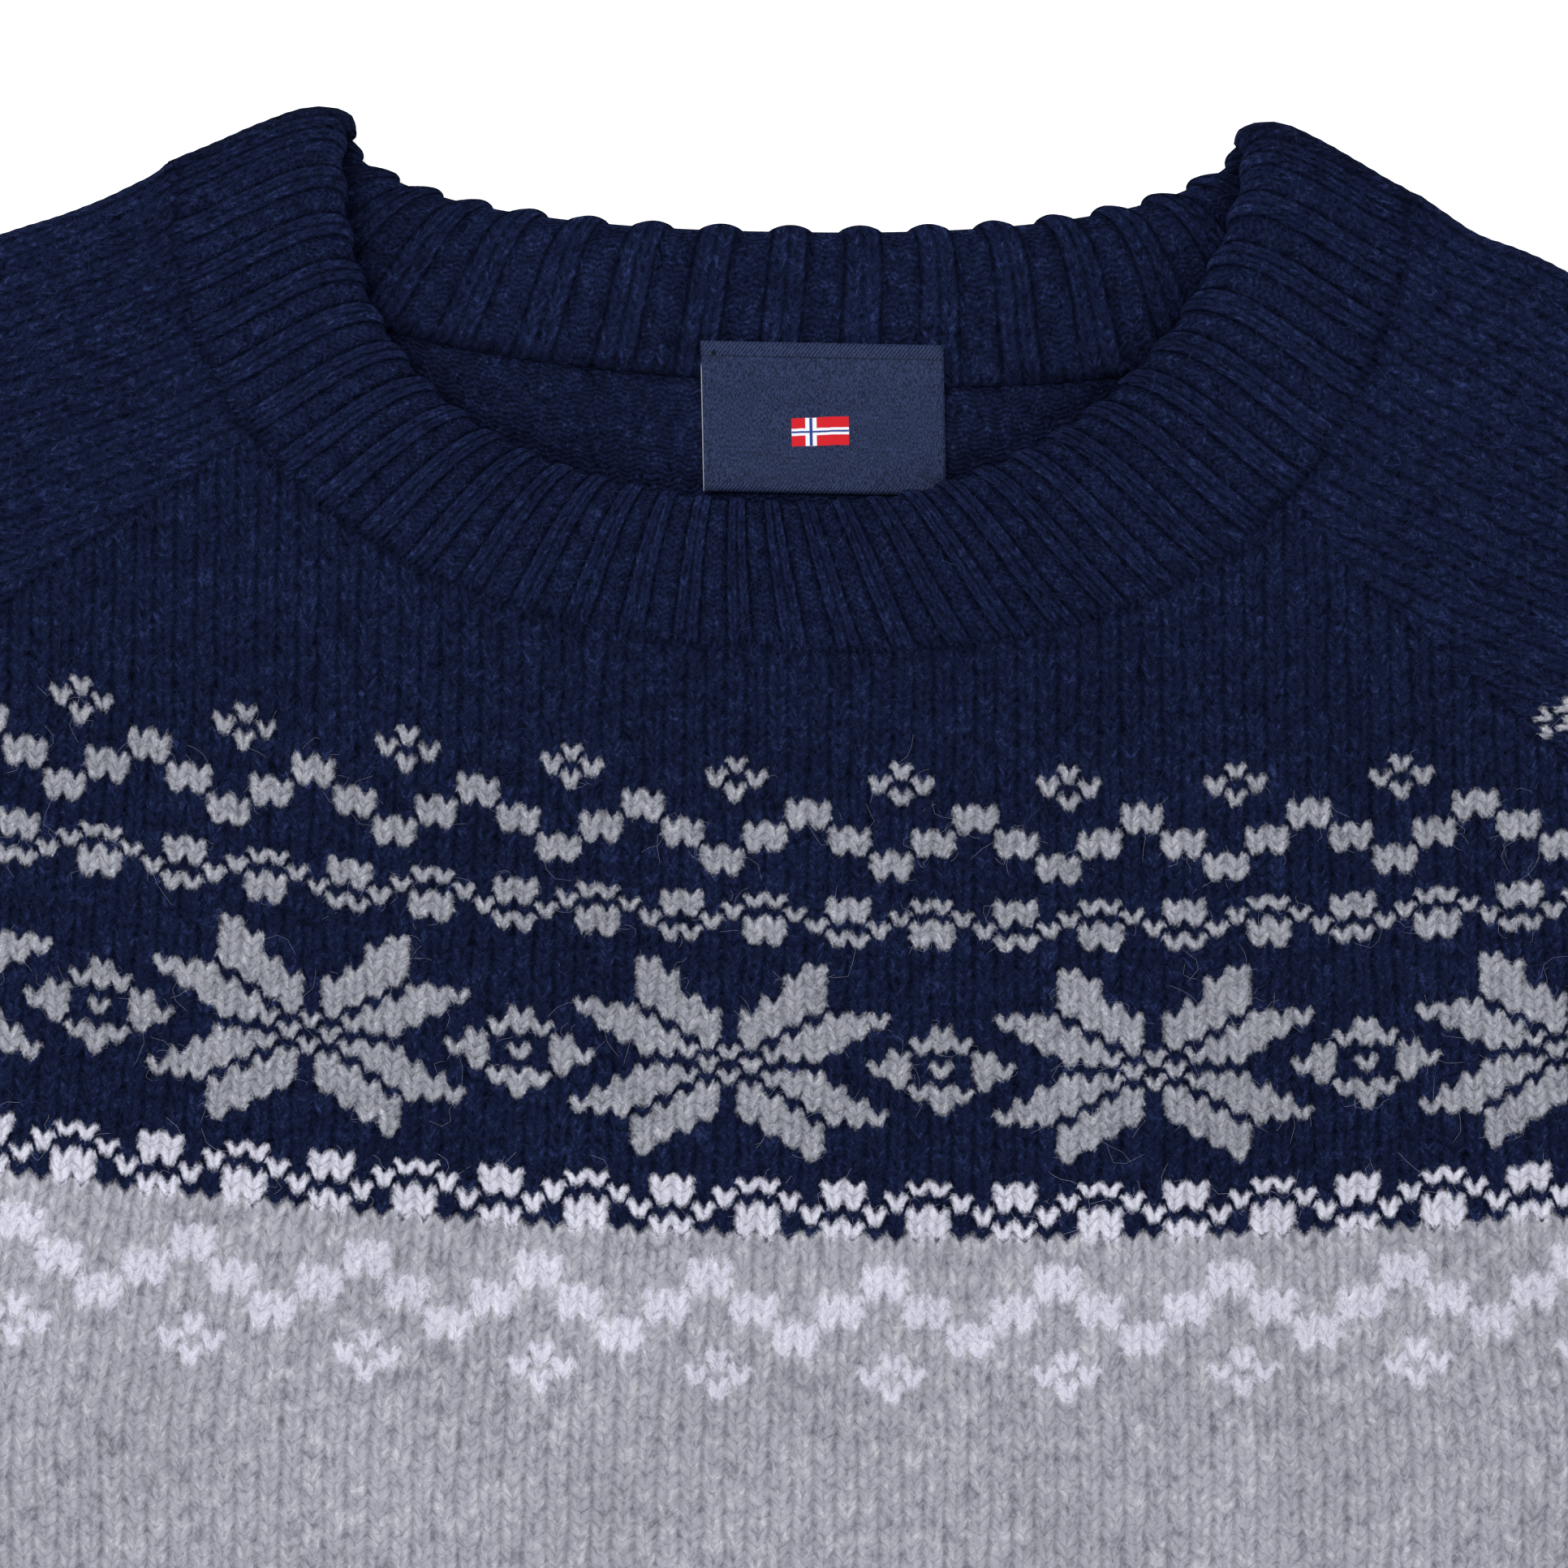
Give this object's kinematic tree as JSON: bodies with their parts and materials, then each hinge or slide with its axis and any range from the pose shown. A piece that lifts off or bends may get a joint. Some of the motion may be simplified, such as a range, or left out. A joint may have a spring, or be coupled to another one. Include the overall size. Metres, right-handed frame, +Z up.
{
  "type": "nordic yoke sweater",
  "caption": "Raglan-sleeved crew-neck wool sweater with knitted star and zigzag yoke bands, ribbed neck, hem and cuffs, laid flat on its back with the front up",
  "frame": {"origin": "middle of the laid sweater's box in plan, on the surface that it lies on", "axes": "+X to the right in front view of the sweater as it lies with its front up, +Y towards the neck, +Z up from the surface"},
  "size_m": [1.2764, 0.6909, 0.0115],
  "materials": {
    "knit_front": "brushed wool knit, navy above and grey melange below, grey and white patterns",
    "knit_back": "brushed wool knit, as the front",
    "knit_sleeves": "brushed wool knit, as the front",
    "rib_navy": "2x2 rib in brushed wool",
    "rib_grey": "2x2 rib in brushed melange wool",
    "label": "woven satin"
  },
  "bodies": {
    "root": {"front": "knit_front", "back": "knit_back", "hem_front": "rib_grey", "hem_back": "rib_grey", "sleeve_right": "knit_sleeves", "sleeve_left": "knit_sleeves", "cuff_right": "rib_grey", "cuff_left": "rib_grey", "neckband": "rib_navy", "label": "label"}
  },
  "joints": []
}
